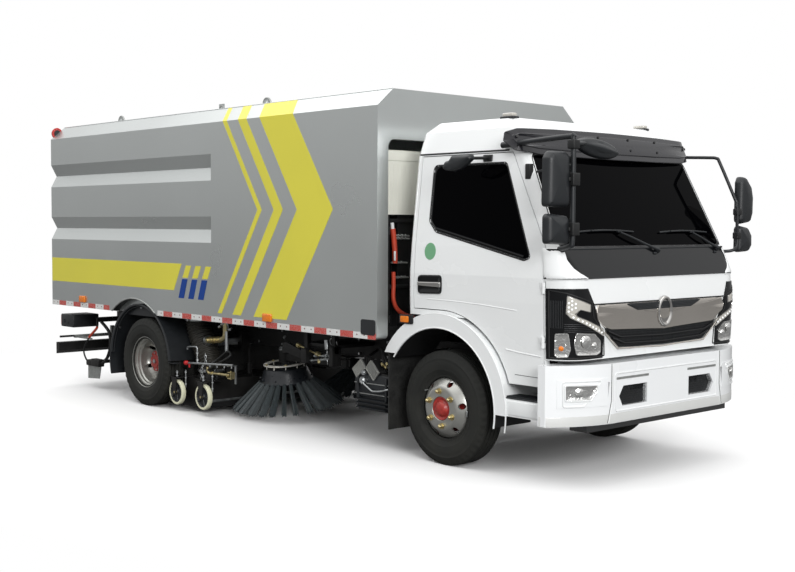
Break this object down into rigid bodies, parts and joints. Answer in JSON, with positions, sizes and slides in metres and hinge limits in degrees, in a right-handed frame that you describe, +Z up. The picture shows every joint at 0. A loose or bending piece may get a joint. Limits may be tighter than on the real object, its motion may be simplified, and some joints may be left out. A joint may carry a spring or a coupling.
{
  "type": "street sweeper truck",
  "caption": "Cab-over street sweeper truck with a grey tipping hopper body, gutter brooms and a wheeled suction nozzle under the chassis.",
  "frame": {"origin": "on the ground under the middle of the vehicle", "axes": "+X forwards, +Y to the vehicle left, +Z up"},
  "size_m": [6.8585, 2.492, 2.724],
  "materials": {
    "white_paint": "gloss white paint",
    "grey_paint": "satin grey paint with yellow stripes",
    "black_paint": "satin black chassis paint",
    "tyre_rubber": "matt tread rubber",
    "wheel_silver": "silver wheel paint",
    "bright_steel": "brushed steel",
    "window_glass": "tinted glass",
    "black_plastic": "black moulded plastic",
    "black_rubber": "corrugated rubber",
    "lamp_lens": "clear lamp cover",
    "seat_fabric": "grey seat cloth",
    "beige_paint": "beige paint",
    "chrome_trim": "bright chrome",
    "broom_bristle": "dark grey bristle",
    "cream_tread": "cream polyurethane tread"
  },
  "bodies": {
    "chassis": {"chassis_frame": "black_paint", "crossmembers": "black_paint", "front_axle": "black_paint", "rear_axle": "black_paint", "leaf_springs": "black_paint", "suction_hose": "black_rubber", "cab_shell": "white_paint", "windscreen": "window_glass", "front_mask": "black_plastic", "grille": "chrome_trim", "headlamps": "lamp_lens", "mirrors": "black_plastic", "sun_visor": "black_plastic", "front_fenders": "white_paint", "front_bumper": "white_paint", "dashboard": "black_plastic", "seats": "seat_fabric", "engine_block": "black_paint", "fuel_tank": "black_paint", "battery_box": "black_paint", "front_mudflaps": "black_rubber", "rear_mudguards": "black_plastic", "tail_lamps": "black_plastic", "rear_underrun_bar": "black_paint", "auxiliary_engine": "black_paint", "fan_cover": "beige_paint"},
    "hopper": {"hopper_body": "grey_paint", "rear_beacons": "lamp_lens"},
    "rear_door": {"rear_door": "grey_paint"},
    "tip_barrels": {"tip_barrels": "black_paint"},
    "tip_rods": {"tip_rods": "bright_steel"},
    "nozzle": {"suction_nozzle": "black_paint"},
    "knuckle_left": {"knuckle_left": "black_paint"},
    "wheel_front_left": {"tyre_front_left": "tyre_rubber", "rim_front_left": "wheel_silver"},
    "wheels_rear_left": {"tyres_rear_left": "tyre_rubber", "rims_rear_left": "wheel_silver"},
    "cab_door_left": {"cab_door_left": "white_paint", "cab_window_left": "window_glass"},
    "broom_arm_left": {"broom_arm_left": "black_paint"},
    "broom_left": {"broom_left": "broom_bristle"},
    "caster_front_left": {"caster_front_left": "cream_tread"},
    "caster_rear_left": {"caster_rear_left": "cream_tread"},
    "knuckle_right": {"knuckle_right": "black_paint"},
    "wheel_front_right": {"tyre_front_right": "tyre_rubber", "rim_front_right": "wheel_silver"},
    "wheels_rear_right": {"tyres_rear_right": "tyre_rubber", "rims_rear_right": "wheel_silver"},
    "cab_door_right": {"cab_door_right": "white_paint", "cab_window_right": "window_glass", "kerb_mirror": "black_plastic"},
    "broom_arm_right": {"broom_arm_right": "black_paint"},
    "broom_right": {"broom_right": "broom_bristle"},
    "caster_front_right": {"caster_front_right": "cream_tread"},
    "caster_rear_right": {"caster_rear_right": "cream_tread"}
  },
  "joints": [
    {"name": "hopper_tip", "type": "hinge", "parent": "chassis", "child": "hopper", "pos_m": [-3.3, 0, 0.8], "axis": [0, -1, 0], "range_deg": [0, 45]},
    {"name": "tip_barrel_swing", "type": "hinge", "parent": "chassis", "child": "tip_barrels", "pos_m": [-0.65, 0, 0.66], "axis": [0, 1, 0], "range_deg": [0, 30.4]},
    {"name": "tip_rod_slide", "type": "slide", "parent": "tip_barrels", "child": "tip_rods", "axis": [-0.9921, 0, 0.1251], "range_m": [0, 0.8427]},
    {"name": "rear_door_hinge", "type": "hinge", "parent": "hopper", "child": "rear_door", "pos_m": [-3.38, 0, 2.56], "axis": [0, 1, 0], "range_deg": [0, 100]},
    {"name": "steer_left", "type": "hinge", "parent": "chassis", "child": "knuckle_left", "pos_m": [2.2, 0.7, 0.404], "axis": [0, 0, 1], "range_deg": [-32, 32]},
    {"name": "wheel_front_left_spin", "type": "hinge", "parent": "knuckle_left", "child": "wheel_front_left", "pos_m": [2.2, 0.8625, 0.404], "axis": [0, 1, 0], "continuous": true},
    {"name": "wheels_rear_left_spin", "type": "hinge", "parent": "chassis", "child": "wheels_rear_left", "pos_m": [-1.6, 0.873, 0.404], "axis": [0, 1, 0], "continuous": true},
    {"name": "cab_door_left_hinge", "type": "hinge", "parent": "chassis", "child": "cab_door_left", "pos_m": [3.131, 0.99, 1.4], "axis": [0, 0, -1], "range_deg": [0, 70]},
    {"name": "broom_arm_left_swing", "type": "hinge", "parent": "chassis", "child": "broom_arm_left", "pos_m": [0.5, 0.43, 0.53], "axis": [0, 0, -1], "range_deg": [0, 35]},
    {"name": "broom_left_spin", "type": "hinge", "parent": "broom_arm_left", "child": "broom_left", "pos_m": [-0.23, 0.5, 0.47], "axis": [0, 0.1045, 0.9945], "continuous": true},
    {"name": "caster_front_left_spin", "type": "hinge", "parent": "nozzle", "child": "caster_front_left", "pos_m": [-0.705, 1.03, 0.172], "axis": [0, 1, 0], "continuous": true},
    {"name": "caster_rear_left_spin", "type": "hinge", "parent": "nozzle", "child": "caster_rear_left", "pos_m": [-1.13, 1.03, 0.172], "axis": [0, 1, 0], "continuous": true},
    {"name": "steer_right", "type": "hinge", "parent": "chassis", "child": "knuckle_right", "pos_m": [2.2, -0.7, 0.404], "axis": [0, 0, 1], "range_deg": [-32, 32]},
    {"name": "wheel_front_right_spin", "type": "hinge", "parent": "knuckle_right", "child": "wheel_front_right", "pos_m": [2.2, -0.8625, 0.404], "axis": [0, 1, 0], "continuous": true},
    {"name": "wheels_rear_right_spin", "type": "hinge", "parent": "chassis", "child": "wheels_rear_right", "pos_m": [-1.6, -0.873, 0.404], "axis": [0, 1, 0], "continuous": true},
    {"name": "cab_door_right_hinge", "type": "hinge", "parent": "chassis", "child": "cab_door_right", "pos_m": [3.131, -0.99, 1.4], "axis": [0, 0, 1], "range_deg": [0, 70]},
    {"name": "broom_arm_right_swing", "type": "hinge", "parent": "chassis", "child": "broom_arm_right", "pos_m": [0.5, -0.43, 0.53], "axis": [0, 0, 1], "range_deg": [0, 35]},
    {"name": "broom_right_spin", "type": "hinge", "parent": "broom_arm_right", "child": "broom_right", "pos_m": [-0.23, -0.5, 0.47], "axis": [0, -0.1045, 0.9945], "continuous": true},
    {"name": "caster_front_right_spin", "type": "hinge", "parent": "nozzle", "child": "caster_front_right", "pos_m": [-0.705, -1.03, 0.172], "axis": [0, 1, 0], "continuous": true},
    {"name": "caster_rear_right_spin", "type": "hinge", "parent": "nozzle", "child": "caster_rear_right", "pos_m": [-1.13, -1.03, 0.172], "axis": [0, 1, 0], "continuous": true},
    {"name": "nozzle_lift", "type": "slide", "parent": "chassis", "child": "nozzle", "axis": [0, 0, -1], "range_m": [0, 0.05]}
  ],
  "couplings": [
    {"joint": "steer_right", "follows": "steer_left", "ratio": 1},
    {"joint": "tip_barrel_swing", "follows": "hopper_tip", "ratio": 0.6645},
    {"joint": "tip_rod_slide", "follows": "hopper_tip", "m_per_rad": 1.0666}
  ]
}
